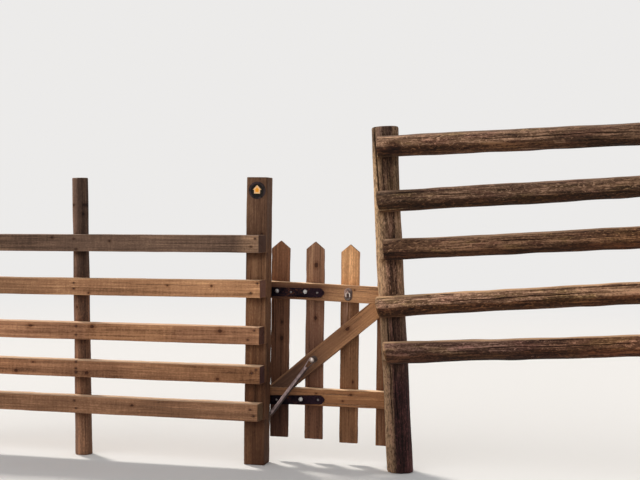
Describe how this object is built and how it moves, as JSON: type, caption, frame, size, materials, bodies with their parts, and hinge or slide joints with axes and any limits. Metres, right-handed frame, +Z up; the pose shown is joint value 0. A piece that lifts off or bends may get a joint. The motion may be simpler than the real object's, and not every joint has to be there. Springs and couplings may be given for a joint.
{
  "type": "self-closing picket wicket gate in a rail fence",
  "caption": "Pointed-picket wicket gate with strap hinges, diagonal closer and drop ring, between a sawn gatepost and a leaning round post with rail fence on both sides.",
  "frame": {"origin": "middle of the gatepost's foot, at ground level", "axes": "+X along the fence towards the slam post, +Y away from the side the picture shows, +Z up"},
  "size_m": [4.3829, 0.292, 1.7309],
  "materials": {
    "gatepost_wood": "weathered sawn timber",
    "rail_wood": "weathered sawn timber",
    "pole_wood": "weathered round timber",
    "log_wood": "old split round timber",
    "picket_wood": "weathered sawn timber",
    "gate_wood": "weathered sawn timber",
    "black_iron": "black paint, worn",
    "galvanised": "dull zinc",
    "disc_plastic": "satin"
  },
  "bodies": {
    "fence": {"gatepost": "gatepost_wood", "waymark_disc": "disc_plastic", "hinge_hook_upper": "black_iron", "hinge_hook_lower": "black_iron", "closer_post_bracket": "galvanised", "left_rail_1": "rail_wood", "left_rail_2": "rail_wood", "left_rail_3": "rail_wood", "left_rail_4": "rail_wood", "left_rail_5": "rail_wood", "left_mid_post": "pole_wood", "left_end_post": "pole_wood", "slam_post": "log_wood", "log_rail_1": "log_wood", "log_rail_2": "log_wood", "log_rail_3": "log_wood", "log_rail_4": "log_wood", "log_rail_5": "log_wood", "right_end_post": "log_wood"},
    "gate": {"picket_1": "picket_wood", "picket_2": "picket_wood", "picket_3": "picket_wood", "picket_4": "picket_wood", "gate_top_rail": "gate_wood", "gate_bottom_rail": "gate_wood", "gate_brace": "gate_wood", "strap_hinge_upper": "black_iron", "strap_hinge_lower": "black_iron", "closer_gate_bracket": "galvanised", "closer_spring": "galvanised", "pull_plate": "galvanised"},
    "ring": {"pull_ring": "galvanised"}
  },
  "joints": [
    {"name": "gate_swing", "type": "hinge", "parent": "fence", "child": "gate", "pos_m": [0.02, 0.073, 0.835], "axis": [0, 0, 1], "range_deg": [0, 90], "stiffness_Nm_per_rad": 8, "springref_deg": -22.92, "deforming": ["closer_spring"]},
    {"name": "ring_lift", "type": "hinge", "parent": "gate", "child": "ring", "pos_m": [0.431, 0.064, 0.84], "axis": [-1, 0, 0], "range_deg": [0, 100]}
  ]
}
